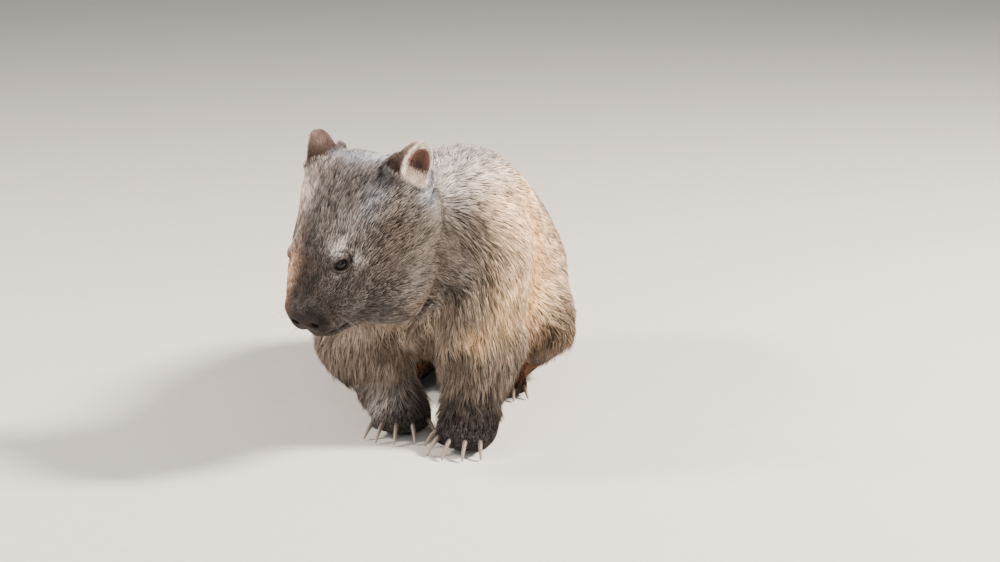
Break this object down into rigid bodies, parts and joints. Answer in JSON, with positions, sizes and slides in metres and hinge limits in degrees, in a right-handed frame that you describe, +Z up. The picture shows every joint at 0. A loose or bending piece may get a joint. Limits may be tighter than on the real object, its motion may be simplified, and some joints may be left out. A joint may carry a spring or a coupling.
{
  "type": "wombat",
  "caption": "Life-size bare-nosed wombat standing hunched on all fours, head lowered and turned to its right, shaggy grey-brown coat, a still display model.",
  "frame": {"origin": "centre of the footprint of the outer box, on the ground under the soles", "axes": "-Y the way the body faces, +X the animal's left, +Z up"},
  "size_m": [0.3076, 0.635, 0.372],
  "materials": {
    "coat_body": "dense coarse fur, grey-brown with pale tips and warm buff flanks",
    "coat_head": "short dense fur, grey-brown with silvery tips",
    "coat_legs": "shaggy fur, pale buff streaks going dark at the paws",
    "ears": "thin short fur over pinkish skin",
    "nose_skin": "bare dark leathery skin, slightly moist",
    "eyes": "wet dark brown",
    "claws": "worn pale horn"
  },
  "bodies": {
    "root": {"torso": "coat_body", "rump": "coat_body", "neck": "coat_body", "tail": "coat_body", "head": "coat_head", "foreleg_left": "coat_legs", "foreleg_right": "coat_legs", "forepaw_left": "coat_legs", "forepaw_right": "coat_legs", "hindleg_left": "coat_legs", "hindleg_right": "coat_legs", "hindfoot_left": "coat_legs", "hindfoot_right": "coat_legs", "ear_left": "ears", "ear_right": "ears", "nose": "nose_skin", "eye_left": "eyes", "eye_right": "eyes", "claw_fore_left_1": "claws", "claw_fore_left_2": "claws", "claw_fore_left_3": "claws", "claw_fore_left_4": "claws", "claw_fore_left_5": "claws", "claw_fore_right_1": "claws", "claw_fore_right_2": "claws", "claw_fore_right_3": "claws", "claw_fore_right_4": "claws", "claw_fore_right_5": "claws", "claw_hind_left_1": "claws", "claw_hind_left_2": "claws", "claw_hind_left_3": "claws", "claw_hind_left_4": "claws", "claw_hind_right_1": "claws", "claw_hind_right_2": "claws", "claw_hind_right_3": "claws", "claw_hind_right_4": "claws"}
  },
  "joints": []
}
